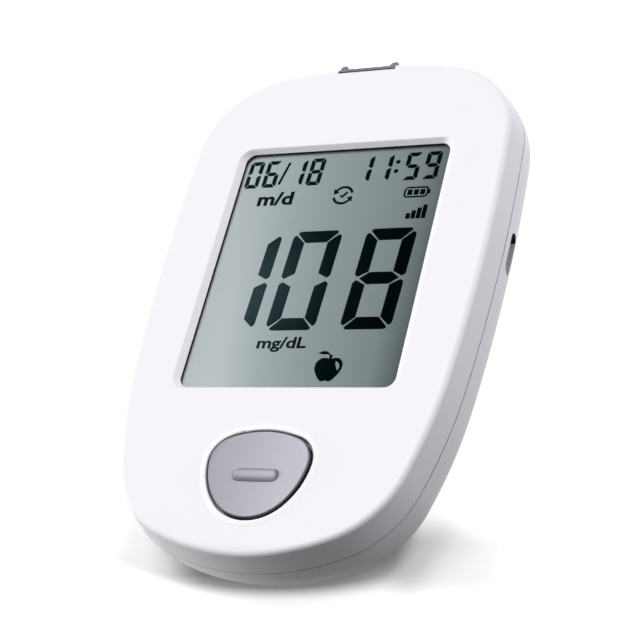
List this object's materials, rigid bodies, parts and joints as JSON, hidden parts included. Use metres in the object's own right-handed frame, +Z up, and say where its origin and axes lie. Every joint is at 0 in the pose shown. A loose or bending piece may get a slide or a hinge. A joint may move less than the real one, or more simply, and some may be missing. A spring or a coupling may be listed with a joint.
{
  "type": "blood glucose meter",
  "caption": "Hand-held blood glucose meter: rounded white case, large segment display, one rounded-triangle button below it and a test strip port in the top end.",
  "frame": {"origin": "middle of the footprint, on the surface that the feet rest on", "axes": "+Z up, out of the display; +Y towards the test strip port; +X to the right of the display. The meter lies on its back."},
  "size_m": [0.0684, 0.107, 0.0197],
  "materials": {
    "white_shell": "smooth moulded white, satin gloss",
    "clear_window": "clear acrylic, polished",
    "black_tape": "matt black",
    "display_film": "grey-green film",
    "display_glass": "polished",
    "reflector_film": "silver-grey film",
    "carrier_plastic": "natural white moulding",
    "contact_rubber": "matt",
    "circuit_board": "green solder mask",
    "chip_black": "moulded black epoxy",
    "tinned_sheet": "tinned sheet metal",
    "card_white": "smooth",
    "antenna_block": "matt ceramic-filled plastic",
    "black_plastic": "moulded black",
    "pouch_foil": "dull silver foil",
    "foam_tape": "foam",
    "connector_white": "natural nylon",
    "lead_insulation": "soft insulation",
    "port_grey": "fine matt grey",
    "contact_brass": "gold-plated",
    "button_grey": "fine matt grey",
    "zinc_steel": "zinc plated",
    "foot_rubber": "matt grey"
  },
  "bodies": {
    "meter": {"front_shell": "white_shell", "rear_shell": "white_shell", "display_window": "clear_window", "window_gasket": "black_tape", "front_polariser": "display_film", "lcd_glass": "display_glass", "rear_polariser": "reflector_film", "lcd_frame": "carrier_plastic", "elastomer_strip": "contact_rubber", "main_board": "circuit_board", "microcontroller": "chip_black", "cellular_module": "circuit_board", "module_shield": "tinned_sheet", "sim_holder": "tinned_sheet", "sim_card": "card_white", "antenna": "antenna_block", "buzzer": "black_plastic", "usb_socket": "tinned_sheet", "battery_cell": "pouch_foil", "battery_tape": "foam_tape", "battery_connector": "connector_white", "battery_plug": "connector_white", "battery_leads": "lead_insulation", "strip_port": "port_grey", "contact_block": "black_plastic", "strip_contacts": "contact_brass", "switch_body": "black_plastic", "switch_cover": "tinned_sheet", "case_screws": "zinc_steel", "board_screws": "zinc_steel", "rubber_feet": "foot_rubber"},
    "button": {"button_cap": "button_grey"},
    "plunger": {"switch_plunger": "black_plastic"}
  },
  "joints": [
    {"name": "button_press", "type": "slide", "parent": "meter", "child": "button", "axis": [0, 0, -1], "range_m": [0, 0.0005], "stiffness_N_per_m": 1000, "springref_m": -0.0015},
    {"name": "plunger_press", "type": "slide", "parent": "meter", "child": "plunger", "axis": [0, 0, -1], "range_m": [0, 0.0005]}
  ],
  "couplings": [
    {"joint": "plunger_press", "follows": "button_press", "ratio": 1}
  ]
}
